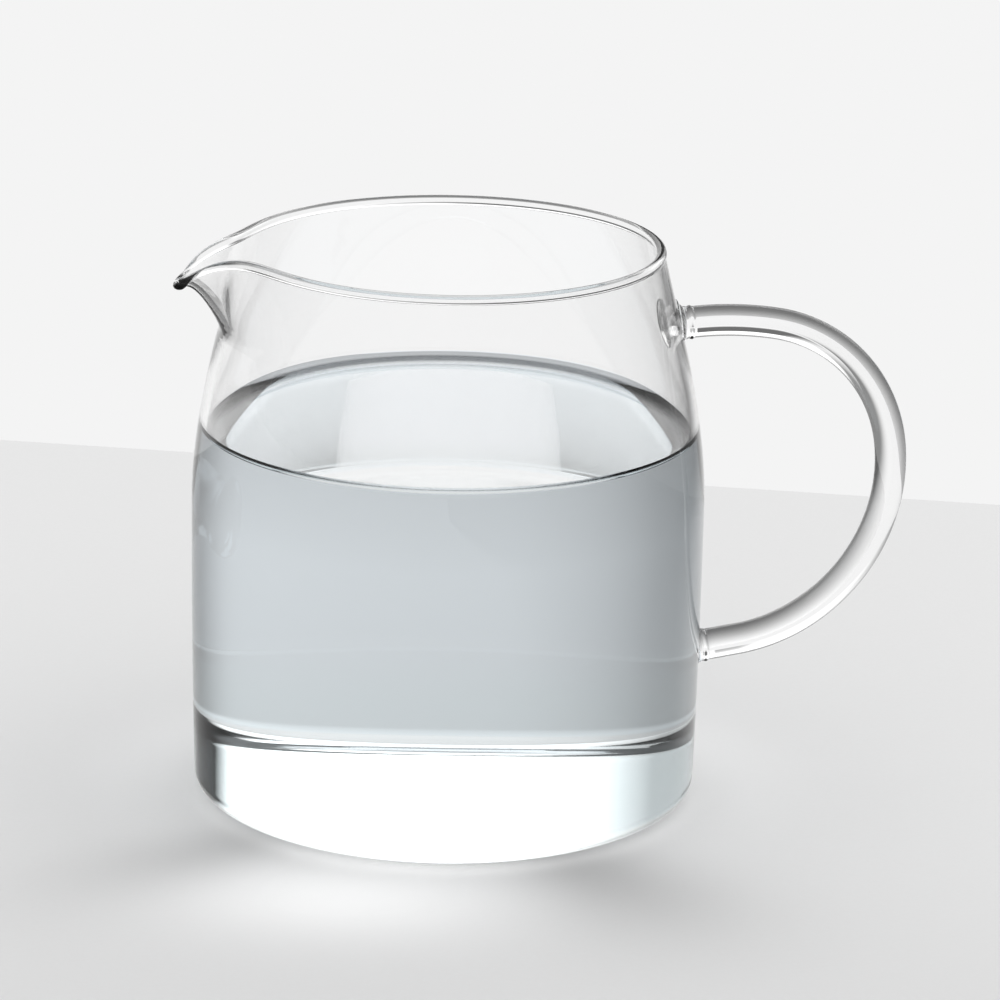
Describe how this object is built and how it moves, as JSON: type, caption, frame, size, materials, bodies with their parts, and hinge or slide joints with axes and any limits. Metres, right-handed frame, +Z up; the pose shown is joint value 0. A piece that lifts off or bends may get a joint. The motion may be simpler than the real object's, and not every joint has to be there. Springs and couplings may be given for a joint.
{
  "type": "glass carafe",
  "caption": "Thin clear glass jug with a tapering shoulder, pulled pouring spout and a bent glass rod handle, part-filled with water.",
  "frame": {"origin": "centre of the flat base, on the jug's axis, in the plane of the table", "axes": "+Z up along the jug's axis; -X through the middle of the spout; +X through the handle"},
  "size_m": [0.1692, 0.115, 0.127],
  "materials": {
    "clear_glass": "clear, smooth, fire-polished",
    "water": "clear still water"
  },
  "bodies": {
    "root": {"vessel": "clear_glass", "handle": "clear_glass", "water": "water"}
  },
  "joints": []
}
